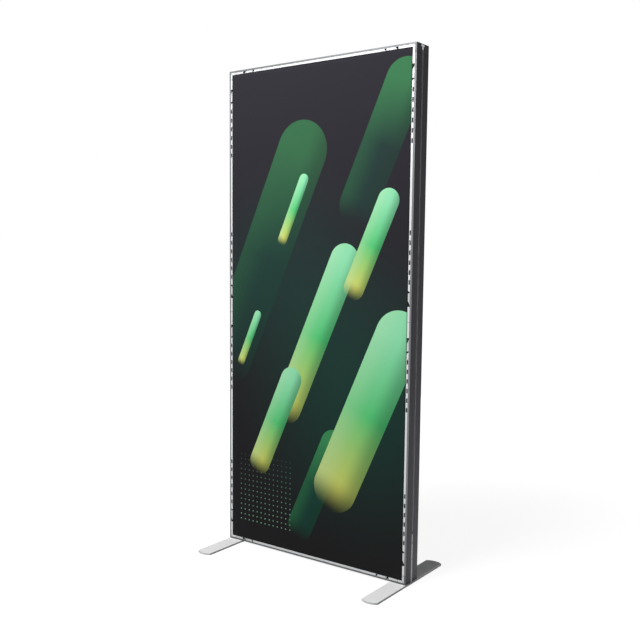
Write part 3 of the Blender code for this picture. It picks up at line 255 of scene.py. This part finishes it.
class Graph:
    """The nodes of one material, with short ways to add what the finishes need."""

    def __init__(self, name):
        self.material = bpy.data.materials.new(name)
        self.material.use_nodes = True
        self.tree = self.material.node_tree
        self.shader = self.tree.nodes["Principled BSDF"]

    def add(self, kind, **values):
        node = self.tree.nodes.new(kind)
        for key, value in values.items():
            setattr(node, key, value)
        return node

    def feed(self, socket, value):
        """Link an output to a socket, or set the socket's own value."""
        if isinstance(value, bpy.types.NodeSocket):
            self.tree.links.new(value, socket)
        elif value is not None:
            socket.default_value = value

    def set(self, **values):
        """Set or link the shader's sockets, with _ for a space in a name."""
        for key, value in values.items():
            self.feed(self.shader.inputs[key.replace("_", " ")], value)

    def place(self, scale=(1, 1, 1)):
        """The object's own coordinates, scaled."""
        coordinates = self.add("ShaderNodeTexCoord").outputs["Object"]
        mapping = self.add("ShaderNodeMapping", vector_type="POINT")
        self.feed(mapping.inputs["Vector"], coordinates)
        mapping.inputs["Scale"].default_value = scale
        return mapping.outputs["Vector"]

    def split(self, vector):
        node = self.add("ShaderNodeSeparateXYZ")
        self.feed(node.inputs[0], vector)
        return node.outputs

    def math(self, operation, a, b=None, c=None):
        node = self.add("ShaderNodeMath", operation=operation)
        for socket, value in zip(node.inputs, (a, b, c)):
            self.feed(socket, value)
        return node.outputs[0]

    def length(self, a, b):
        """The length of a step of a one way and b square to it."""
        squares = self.math("ADD", self.math("MULTIPLY", a, a), self.math("MULTIPLY", b, b))
        return self.math("SQRT", squares)

    def steps_from(self, point):
        """How far to the right of a point of the print, and how far above it."""
        x, _, z = self.split(self.place())
        return self.math("SUBTRACT", x, point[0]), self.math("SUBTRACT", z, point[1])

    def noise(self, vector, scale, detail=2, roughness=0.5):
        node = self.add("ShaderNodeTexNoise")
        self.feed(node.inputs["Vector"], vector)
        node.inputs["Scale"].default_value = scale
        node.inputs["Detail"].default_value = detail
        node.inputs["Roughness"].default_value = roughness
        return node.outputs["Fac"]

    def span(self, value, low, high, to_low=0, to_high=1, smooth=False):
        """Map a value from one range to another, and no further."""
        node = self.add("ShaderNodeMapRange", clamp=True)
        node.interpolation_type = "SMOOTHSTEP" if smooth else "LINEAR"
        for name, number in (("Value", value), ("From Min", low), ("From Max", high),
                             ("To Min", to_low), ("To Max", to_high)):
            self.feed(node.inputs[name], number)
        return node.outputs["Result"]

    def mix(self, factor, a, b):
        """Colour a where the factor is 0, and b where it is 1."""
        node = self.add("ShaderNodeMix", data_type="RGBA")
        self.feed(node.inputs["Factor"], factor)
        for socket, value in ((node.inputs[6], a), (node.inputs[7], b)):
            self.feed(socket, (*value, 1) if isinstance(value, tuple) else value)
        return node.outputs[2]

    def bump(self, height, distance, strength):
        node = self.add("ShaderNodeBump")
        node.inputs["Strength"].default_value = strength
        node.inputs["Distance"].default_value = distance
        self.feed(node.inputs["Height"], height)
        self.feed(self.shader.inputs["Normal"], node.outputs["Normal"])

    def from_sides(self, x):
        """How far a place is from the nearer side of the frame."""
        return self.math("SUBTRACT", HALF_WIDTH, self.math("ABSOLUTE", x))

    def with_seam_shade(self, colour):
        """Darken a colour within a hair of the frame's joints: painted shade of their narrow gaps,
        with some dust.
        """
        x, _, z = self.split(self.place())
        nearest = self.math("ABSOLUTE", self.math("SUBTRACT", self.from_sides(x), CORNER_LEG))
        for seam in (FRAME_LOW.z + CORNER_LEG, FRAME_HIGH.z - CORNER_LEG, MID_JOINT):
            away = self.math("ABSOLUTE", self.math("SUBTRACT", z, seam))
            nearest = self.math("MINIMUM", nearest, away)
        # Painted shade of the narrow joint gaps, drawn wider than the gaps, with some dust
        dust_and_shade = self.span(nearest, SEAM_CLEAR, SEAM_SHADE_END, SEAM_SHADE_TONE, 0)
        return self.mix(dust_and_shade, colour, BLACK)


def scaled(colour, share):
    """A colour made darker or lighter."""
    return tuple(channel * share for channel in colour)


def extruded(name, colour, along, metallic, roughness, contrast=0.08, specular=0.5, seam_shade=False):
    """Drawn and anodised aluminium: fine lines along the length, and faint handling marks."""
    graph = Graph(name)
    scale = [LINES_ACROSS] * 3
    scale["XYZ".index(along)] = LINES_ALONG
    lines = graph.noise(graph.place(tuple(scale)), scale=1, detail=3, roughness=0.6)
    clouds = graph.noise(graph.place(), scale=7, detail=3)
    marks = graph.noise(graph.place(), scale=38, detail=4, roughness=0.65)
    smudges = graph.span(marks, *SMUDGE_SPAN)
    dark = scaled(colour, 1 - contrast)
    base = graph.mix(graph.span(lines, *NOISE_MOST), dark, colour)
    tone = graph.mix(graph.math("MULTIPLY", clouds, CLOUD_SHARE), base, dark)
    rough = graph.span(lines, *NOISE_WIDE, roughness - 0.05, roughness + 0.06)
    rubbed = graph.math("MULTIPLY", smudges, SMUDGE_ROUGHNESS)
    graph.set(Base_Color=graph.with_seam_shade(tone) if seam_shade else tone, Metallic=metallic,
              Roughness=graph.math("ADD", rough, rubbed),
              Specular_IOR_Level=specular)
    graph.bump(lines, distance=0.01 * MM, strength=0.5)
    return graph.material


def blasted(name, colour, metallic, roughness, specular=0.5, seam_shade=False):
    """A cast or cut piece with a fine blasted grain."""
    graph = Graph(name)
    grains = graph.noise(graph.place(), scale=2600, detail=2, roughness=0.6)
    clouds = graph.noise(graph.place(), scale=16, detail=3)
    mottle = graph.math("MULTIPLY", graph.math("ADD", grains, clouds), 0.5)
    tone = graph.mix(graph.span(mottle, *NOISE_NARROW), scaled(colour, MOTTLE_TONE), colour)
    graph.set(Base_Color=graph.with_seam_shade(tone) if seam_shade else tone, Metallic=metallic,
              Roughness=graph.span(clouds, *NOISE_MOST, roughness - 0.04, roughness + 0.05),
              Specular_IOR_Level=specular)
    graph.bump(grains, distance=0.012 * MM, strength=0.5)
    return graph.material


def powder_coat(name, colour, roughness, specular):
    """Satin paint with a slight orange peel and a little dust."""
    graph = Graph(name)
    peel = graph.noise(graph.place(), scale=700)
    flakes = graph.noise(graph.place(), scale=5200, detail=1)
    clouds = graph.noise(graph.place(), scale=24, detail=4, roughness=0.6)
    dust_and_shade = graph.span(clouds, *DUST_SPAN)
    base = graph.mix(graph.span(flakes, *FLAKE_SPAN), scaled(colour, FLAKE_TONE), colour)
    share = graph.math("MULTIPLY", dust_and_shade, DUST_SHARE)
    rougher = graph.math("MULTIPLY", dust_and_shade, DUST_ROUGHNESS)
    graph.set(Base_Color=graph.mix(share, base, scaled(colour, DUST_TONE)),
              Roughness=graph.math("ADD", rougher, roughness),
              Specular_IOR_Level=specular)
    graph.bump(peel, distance=0.03 * MM, strength=0.35)
    return graph.material


def moulded(name, colour, roughness, texture=1500):
    """Moulded plastic or rubber with a fine grain."""
    graph = Graph(name)
    grain = graph.noise(graph.place(), scale=texture, detail=3, roughness=0.6)
    cloud = graph.noise(graph.place(), scale=30)
    light = tuple(min(1, channel * CLOUD_GAIN + CLOUD_LIFT) for channel in colour)
    graph.set(Base_Color=graph.mix(graph.span(cloud, *NOISE_NARROW), colour, light),
              Roughness=graph.span(grain, *NOISE_MOST, roughness - 0.06, roughness + 0.06))
    graph.bump(grain, distance=0.02 * MM, strength=0.5)
    return graph.material


def clear_moulding(name):
    """Clear lens plastic with faint moulding flow."""
    graph = Graph(name)
    flow = graph.noise(graph.place((1, 1, 0.2)), scale=160, detail=3)
    graph.set(Base_Color=graph.mix(graph.span(flow, *NOISE_MOST), *LENS_TINTS),
              Roughness=graph.span(flow, *NOISE_MOST, *LENS_ROUGHNESS),
              IOR=LENS_IOR, Transmission_Weight=LENS_TRANSMISSION)
    graph.bump(flow, distance=0.02 * MM, strength=0.3)
    return graph.material


def light_board(name):
    """White board with copper-coloured pads showing faintly through its mask."""
    graph = Graph(name)
    _, _, up = graph.split(graph.place())
    mask = graph.noise(graph.place(), scale=1800)
    pads = graph.span(graph.math("PINGPONG", up, PAD_STEP), PAD_HALF, PAD_EDGE, 1, 0)
    base = graph.mix(graph.span(mask, *NOISE_MOST), *BOARD_TINTS)
    graph.set(Base_Color=graph.mix(graph.math("MULTIPLY", pads, PAD_SHARE), base, PAD_COPPER),
              Roughness=graph.span(mask, *NOISE_MOST, *BOARD_ROUGHNESS))
    graph.bump(pads, distance=0.03 * MM, strength=0.5)
    return graph.material


def knit_height(graph):
    """Height of a fine warp knit: rows of small loops."""
    x, _, z = graph.split(graph.place())
    wale = graph.math("SINE", graph.math("MULTIPLY", x, math.tau / WALE_WIDTH))
    course = graph.math("SINE", graph.math("MULTIPLY", z, math.tau / COURSE_HEIGHT))
    return graph.math("MULTIPLY", wale, course)


def rounded_bar(graph, below, centre, half_length, radius, lean, tones, shine, strength=1.0):
    """One leaning rounded bar of the print, shaded like a soft tube and fading at its foot."""
    sine, cosine = math.sin(math.radians(lean)), math.cos(math.radians(lean))
    right, up = graph.steps_from(centre)
    along = graph.math("ADD", graph.math("MULTIPLY", right, sine),
                       graph.math("MULTIPLY", up, cosine))
    across = graph.math("SUBTRACT", graph.math("MULTIPLY", right, cosine),
                        graph.math("MULTIPLY", up, sine))
    inside = graph.math("MINIMUM", graph.math("MAXIMUM", along, -half_length), half_length)
    beyond = graph.math("SUBTRACT", along, inside)
    reach = graph.length(across, beyond)
    shape = graph.span(reach, radius - EDGE_BLUR, radius + EDGE_BLUR, 1, 0, True)
    low, middle, high = tones
    lower = graph.mix(graph.span(along, -half_length, 0), low, middle)
    body = graph.mix(graph.span(along, 0, half_length), lower, high)
    side = graph.math("DIVIDE", across, radius)
    light = graph.math("MULTIPLY", graph.span(side, -1, BAR_LIGHT_END, 1, 0, True), BAR_LIGHT)
    dark = graph.math("MULTIPLY", graph.span(side, BAR_SHADE_START, 1, 0, 1, True), BAR_SHADE)
    shaded = graph.mix(dark, graph.mix(light, body, shine), SHADE)
    fade = graph.span(along, -half_length - radius, half_length * TAIL_SHARE, 0, strength, True)
    return graph.mix(graph.math("MULTIPLY", shape, fade), below, shaded)


def glow(graph, below, centre, reach, colour, strength):
    """A soft round glow behind the bars."""
    near = graph.span(graph.length(*graph.steps_from(centre)), 0, reach, strength, 0, True)
    return graph.mix(near, below, colour)


def dot_field(graph, below, corner, size, colour):
    """A field of small round dots that fades upwards."""
    x, _, z = graph.split(graph.place())
    half = DOT_PITCH / 2
    from_dot = graph.length(graph.math("PINGPONG", graph.math("SUBTRACT", x, corner[0]), half),
                            graph.math("PINGPONG", graph.math("SUBTRACT", z, corner[1]), half))
    dots = graph.span(from_dot, DOT_RADIUS - EDGE_BLUR, DOT_RADIUS + EDGE_BLUR, 1, 0)
    in_x = graph.math("COMPARE", x, corner[0] + size[0] / 2, size[0] / 2 + half)
    in_z = graph.math("COMPARE", z, corner[1] + size[1] / 2, size[1] / 2 + half)
    fade = graph.span(z, corner[1], corner[1] + size[1], 1, DOT_FADE)
    field = graph.math("MULTIPLY", graph.math("MULTIPLY", in_x, in_z), fade)
    share = graph.math("MULTIPLY", graph.math("MULTIPLY", dots, field), DOT_STRENGTH)
    return graph.mix(share, below, colour)


def printed_knit(name, bars, lean, glows, dots):
    """Stretch knit with a generic dark print of leaning bars; its ground lighter toward the top as
    painted light, and darker toward its turned edge as painted shade.
    """
    graph = Graph(name)
    x, _, z = graph.split(graph.place())
    # Painted light: the ground lighter toward the top
    height = graph.span(z, FRAME_LOW.z, FRAME_HIGH.z, 0, 1, True)
    below = graph.mix(height, GROUND_LOW_SHADED, GROUND_HIGH_LIT)
    for each in glows:
        below = glow(graph, below, colour=TEAL, **each)
    below = dot_field(graph, below, colour=MINT, **dots)
    for bar in bars:
        below = rounded_bar(graph, below, lean=lean, **bar)
    from_ends = graph.math("MINIMUM", graph.math("SUBTRACT", z, FRAME_LOW.z),
                           graph.math("SUBTRACT", FRAME_HIGH.z, z))
    from_rim = graph.math("MINIMUM", from_ends, graph.from_sides(x))
    from_edge = graph.math("SUBTRACT", from_rim, FABRIC_INSET)
    # Painted shade toward the fabric's turned edge
    hem = graph.span(from_edge, HEM_SHADE_FROM, HEM_SHADE_END, HEM_SHADE, 0)
    shaded = graph.mix(hem, below, BLACK)
    yarn = graph.noise(graph.place(), scale=1400)
    graph.set(Base_Color=graph.mix(graph.span(yarn, *NOISE_MOST, 0, YARN_SHADE), shaded, BLACK),
              Roughness=graph.span(yarn, *NOISE_MOST, *KNIT_ROUGHNESS),
              Specular_IOR_Level=KNIT_SHINE)
    graph.bump(knit_height(graph), distance=0.03 * MM, strength=0.4)
    return graph.material


def ending(*ends):
    """The names of the nodes that end in one of the given ways."""
    return [name for name in sorted(nodes) if name.endswith(ends)]


def dress(names, materials, kind_of=lambda polygon: 0):
    """Give the named nodes their materials, and each face the one that kind_of numbers."""
    for name in names:
        mesh = nodes[name].data
        mesh.materials.clear()
        for material in materials:
            mesh.materials.append(material)
        for polygon in mesh.polygons:
            polygon.material_index = kind_of(polygon)


def frame_face_kind(polygon):
    """What a face of the frame is: band, lip, outer side, side slot or hollow."""
    centre, normal = polygon.center, polygon.normal
    from_side = HALF_WIDTH - abs(centre.x)
    from_end = min(centre.z - FRAME_LOW.z, FRAME_HIGH.z - centre.z)
    inset = min(from_side, from_end)
    from_joint = min(abs(from_side - CORNER_LEG), abs(from_end - CORNER_LEG),
                     abs(centre.z - MID_JOINT))
    # The joints' gap walls take the hollow's colour, dark as painted shade
    if from_joint < SEAM_CLEAR and abs(normal.y) < SIDE_NORMAL:
        return HOLLOW_FACE
    if inset < ON_FACE and abs(normal.y) < SIDE_NORMAL:
        return SIDE_FACE
    in_pocket = FRAME_HIGH.z - centre.z < KEY_POCKET_END and abs(centre.y) < KEY_POCKET_HALF
    if in_pocket and from_side < SIDE_SLOT_DEPTH + ON_FACE:
        return SIDE_FACE
    # The side slot's lining, lighter than its coat as painted light
    if inset < SIDE_SLOT_DEPTH + ON_FACE and abs(centre.y) < SIDE_SLOT_HALF:
        return SLOT_FACE
    # Faces inside the profile under its walls: dark as painted shade
    under_wall = abs(centre.y) < HALF_DEPTH - WALL + ON_FACE
    if WALL - ON_FACE < inset < GROOVE_END + ON_FACE and under_wall:
        return HOLLOW_FACE
    on_front = abs(centre.y) > HALF_DEPTH - LIP_FALL and abs(normal.y) > FRONT_NORMAL
    if on_front and inset < LIP_WIDTH - ON_FACE:
        return LIP_FACE
    return BAND_FACE


def finish_frame():
    """Dress the lengths and the corners: band and greyer lip toned per piece as painted light and
    shade, coated sides, side slot lighter as painted light, hollow and corner arms dark as painted
    shade.
    """
    # Band and lip toned per piece as painted light and shade
    for word, along in (("upright", "Z"), ("rail", "X")):
        dress(ending("_" + word), (
            extruded(f"anodised silver, {word}", SILVER_TONED_BY_LIGHT[word], along,
                     metallic=0.45, roughness=0.40, seam_shade=True),
            extruded(f"grey lip, {word}", LIP_GREY_TONED_BY_LIGHT[word], along,
                     metallic=0.5, roughness=0.42, seam_shade=True),
            extruded(f"graphite coat, {word}", GRAPHITE, along, metallic=0.0, roughness=0.5,
                     contrast=0.15, specular=GRAPHITE_SHINE, seam_shade=True),
            extruded(f"slot in painted light, {word}", SLOT_LIGHT_TONE, along, metallic=0.3, roughness=0.42),
            extruded(f"hollow in painted shade, {word}", HOLLOW_SHADE_GREY, along, metallic=0.2, roughness=0.6),
        ), frame_face_kind)
    # The corners' arms inside the profile: black as painted shade
    dress(ending("_corner"), (
        blasted("blasted silver, corner", SILVER_TONED_BY_LIGHT["corner"],
                metallic=0.45, roughness=0.42, seam_shade=True),
        blasted("grey lip, corner", LIP_GREY_TONED_BY_LIGHT["corner"], metallic=0.5, roughness=0.44, seam_shade=True),
        blasted("graphite coat, corner", GRAPHITE, metallic=0.0, roughness=0.5,
                specular=GRAPHITE_SHINE, seam_shade=True),
        blasted("slot in painted light, corner", SLOT_LIGHT_TONE, metallic=0.3, roughness=0.44),
        blasted("arm in painted shade", INNER_SHADE_BLACK, metallic=0.0, roughness=0.6, specular=ARM_SHINE),
    ), frame_face_kind)


def finish_fittings():
    """Materials of the locks, the keys, the feet and the small fittings."""
    # The locks' bodies inside the profile: black as painted shade
    dress(ending("_lock"),
          (blasted("blasted lock", LOCK_SILVER, metallic=0.5, roughness=0.42),
           blasted("lock body in painted shade", INNER_SHADE_BLACK, metallic=0.0, roughness=0.6,
                   specular=SHADED_BODY_SHINE)),
          lambda polygon: int(abs(polygon.center.y) < HALF_DEPTH - WALL + ON_FACE))
    dress(ending("_slot_key"),
          (blasted("bright key", KEY_SILVER, metallic=0.6, roughness=0.34),
           blasted("coated rim", GRAPHITE, metallic=0.0, roughness=0.5, specular=GRAPHITE_SHINE)),
          lambda polygon: int(polygon.center.z > FRAME_HIGH.z - KEY_RIM + ON_FACE))
    # The bracket's silver darkened as painted shade
    dress(ending("_foot_bracket"),
          [extruded("bracket silver in painted shade", BRACKET_SHADED_SILVER, "Z", metallic=0.3, roughness=0.42)])
    dress(ending("_foot_plate"),
          [powder_coat("silver paint", FOOT_PAINT, roughness=0.6, specular=0.0)])
    dress(ending("_screw"), [blasted("blackened screw", SCREW_BLACK, metallic=0.6, roughness=0.36)])
    dress(ending("_splice_button"),
          [blasted("blackened button", BUTTON_BLACK, metallic=0.7, roughness=0.34)])
    dress(ending("_button_spring"),
          [extruded("spring wire", SPRING_STEEL, "X", metallic=1.0, roughness=0.25)])


def finish_inside():
    """Materials of what the fabrics hide, and of the inlet."""
    dress(("left_splice", "right_splice"),
          [moulded("glass-filled nylon", NYLON_BLACK, roughness=0.55)])
    dress(("power_inlet",), [moulded("inlet moulding", INLET_BLACK, roughness=0.45)])
    dress(ending("_edge_strip"),
          [moulded("milky silicone", SILICONE_MILK, roughness=0.42, texture=500)])
    dress(ending("_led_bar"), [light_board("light board")])
    dress(ending("_lens_strip"), [clear_moulding("lens moulding")])
    dress(("power_supply",),
          [powder_coat("supply case paint", SUPPLY_GREY, roughness=0.40, specular=0.45)])
    dress(("wiring_harness", "mains_lead"),
          [moulded("wire sheath", SHEATH_CREAM, roughness=0.42, texture=900)])


def fabric_steps(low, high, count):
    """Places across a fabric: rolled over at each end, evenly spaced between."""
    roll = [(low + inset, depth) for inset, depth in EDGE_ROLL]
    back = [(high - inset, depth) for inset, depth in EDGE_ROLL[::-1]]
    start, end = roll[-1][0], back[0][0]
    inner = [(start + (end - start) * i / count, 0) for i in range(1, count)]
    return roll + inner + back


def fabric_dip(x, z, half_width, low, high):
    """Slight hollow of a tensioned fabric, and faint puckers along its edges."""
    across = 1 - (x / half_width) ** 2
    up = (z - low) * (high - z) / ((high - low) / 2) ** 2
    hollow = TENSION_DIP * max(across, 0) * max(up, 0)
    from_side = half_width - abs(x)
    from_end = min(z - low, high - z)
    near = max(0, 1 - min(from_side, from_end) / PUCKER_REACH)
    run = z if from_side < from_end else x
    ripple = 0.5 + 0.5 * math.sin(math.tau * run / PUCKER_PITCH)
    return hollow + PUCKER_DEPTH * ripple * near ** 2


def make_fabric(name, replaced, facing, material):
    """A stretched print, rolled over its edge strip all round; facing is -1 in front, 1 behind."""
    low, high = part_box(replaced)
    face = high.y if facing > 0 else low.y
    columns = fabric_steps(low.x, high.x, GRID_ACROSS)
    rows = fabric_steps(low.z, high.z, GRID_UP)
    mesh_maker = bmesh.new()
    grid = []
    for z, z_depth in rows:
        line = []
        for x, x_depth in columns:
            depth = max(x_depth, z_depth) * HEM_DEPTH
            if depth == 0:
                depth = fabric_dip(x, z, high.x, low.z, high.z)
            line.append(mesh_maker.verts.new((x, face - facing * depth, z)))
        grid.append(line)
    for lower, upper in zip(grid, grid[1:]):
        for i in range(len(lower) - 1):
            mesh_maker.faces.new((lower[i], lower[i + 1], upper[i + 1], upper[i]))
    bmesh.ops.recalc_face_normals(mesh_maker, faces=mesh_maker.faces)
    middle = grid[len(rows) // 2][len(columns) // 2].link_faces[0]
    if middle.normal.y * facing < 0:
        bmesh.ops.reverse_faces(mesh_maker, faces=mesh_maker.faces)
    mesh = bpy.data.meshes.new(name)
    mesh_maker.to_mesh(mesh)
    mesh_maker.free()
    mesh.shade_smooth()
    mesh.materials.append(material)
    fabric = bpy.data.objects.new(name, mesh)
    bpy.context.scene.collection.objects.link(fabric)
    thick = fabric.modifiers.new("cloth thickness", "SOLIDIFY")
    thick.thickness = FABRIC_THICKNESS
    thick.offset = -1
    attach(fabric, "frame")
    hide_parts(replaced)
    strip = replaced.split("_")[0] + "_edge_strip"


def white_rays(add, link):
    """1 for the rays that are shown the white background, 0 for those that light the object."""
    rays = add("ShaderNodeLightPath").outputs
    seen = rays["Is Camera Ray"]
    for name in ("Is Glossy Ray", "Is Transmission Ray"):
        larger = add("ShaderNodeMath")
        larger.operation = "MAXIMUM"
        link(seen, larger.inputs[0])
        link(rays[name], larger.inputs[1])
        seen = larger.outputs[0]
    return seen


def make_floor():
    """A wide pale floor: white where no shadow falls, and whiter far off."""
    bpy.ops.mesh.primitive_grid_add(x_subdivisions=2, y_subdivisions=2, size=FLOOR_SIZE)
    floor = bpy.context.object
    floor.name = "floor"
    graph = Graph("pale floor")
    graph.set(Base_Color=(FLOOR_TONE, FLOOR_TONE, FLOOR_TONE, 1), Roughness=FLOOR_ROUGHNESS,
              Specular_IOR_Level=0.0)
    seen = white_rays(graph.tree.nodes.new, graph.tree.links.new)
    x, y, _ = graph.split(graph.place())
    white = graph.span(graph.length(x, y), WHITE_FROM, WHITE_BY,
                       FLOOR_WHITE_NEAR, FLOOR_WHITE_FAR, True)
    glowing = graph.add("ShaderNodeEmission")
    graph.feed(glowing.inputs["Strength"], graph.math("MULTIPLY", seen, white))
    total = graph.add("ShaderNodeAddShader")
    graph.feed(total.inputs[0], graph.shader.outputs[0])
    graph.feed(total.inputs[1], glowing.outputs[0])
    graph.feed(graph.tree.nodes["Material Output"].inputs["Surface"], total.outputs[0])
    floor.data.materials.append(graph.material)


def make_world():
    """White behind the object, and an even, dimmer light on it."""
    world = bpy.data.worlds.new("studio")
    bpy.context.scene.world = world
    world.use_nodes = True
    tree = world.node_tree
    background = tree.nodes["Background"]
    strength = tree.nodes.new("ShaderNodeMapRange")
    tree.links.new(white_rays(tree.nodes.new, tree.links.new), strength.inputs["Value"])
    strength.inputs["To Min"].default_value = WORLD_LIGHT
    strength.inputs["To Max"].default_value = 1
    tree.links.new(strength.outputs[0], background.inputs["Strength"])
    background.inputs["Color"].default_value = (1, 1, 1, 1)


def make_lamp(name, place, target, size, watts, mirrored):
    """A large soft panel lamp, which glossy surfaces mirror or not."""
    data = bpy.data.lights.new(name, "AREA")
    data.shape = "RECTANGLE"
    data.size, data.size_y = size
    data.energy = watts
    lamp = bpy.data.objects.new(name, data)
    lamp.location = place
    lamp.rotation_euler = (Vector(target) - Vector(place)).to_track_quat("-Z", "Y").to_euler()
    lamp.visible_camera = False
    lamp.visible_glossy = mirrored
    bpy.context.scene.collection.objects.link(lamp)


def make_camera():
    """The camera of the photograph."""
    yaw, pitch, roll = (math.radians(a) for a in (CAMERA_YAW, CAMERA_PITCH, CAMERA_ROLL))
    forward = Vector((-math.sin(yaw) * math.cos(pitch),
                      math.cos(yaw) * math.cos(pitch),
                      math.sin(pitch)))
    level = Vector((math.cos(yaw), math.sin(yaw), 0))
    upward = level.cross(forward)
    right = level * math.cos(roll) + upward * math.sin(roll)
    up = upward * math.cos(roll) - level * math.sin(roll)
    data = bpy.data.cameras.new("camera")
    data.sensor_width = SENSOR_WIDTH
    data.lens = FOCAL_PIXELS * SENSOR_WIDTH / IMAGE_SIZE
    data.shift_x = (IMAGE_SIZE / 2 - CENTRE_PIXEL[0]) / IMAGE_SIZE
    data.shift_y = (CENTRE_PIXEL[1] - IMAGE_SIZE / 2) / IMAGE_SIZE
    data.clip_start = CLIP_START
    camera = bpy.data.objects.new("camera", data)
    bpy.context.scene.collection.objects.link(camera)
    axes = Matrix((right, up, -forward)).transposed()
    camera.matrix_world = Matrix.Translation(CAMERA_PLACE) @ axes.to_4x4()
    bpy.context.scene.camera = camera


bpy.context.scene.view_settings.view_transform = "Standard"
make_camera()
make_world()
make_floor()
for lamp in LAMPS:
    make_lamp(**lamp)
finish_frame()
finish_fittings()
finish_inside()
make_fabric("front_print", "front_graphic", -1,
            printed_knit("printed knit, front", FRONT_BARS, FRONT_LEAN, FRONT_GLOWS, FRONT_DOTS))
make_fabric("rear_print", "rear_graphic", 1,
            printed_knit("printed knit, rear", REAR_BARS, REAR_LEAN, REAR_GLOWS, REAR_DOTS))
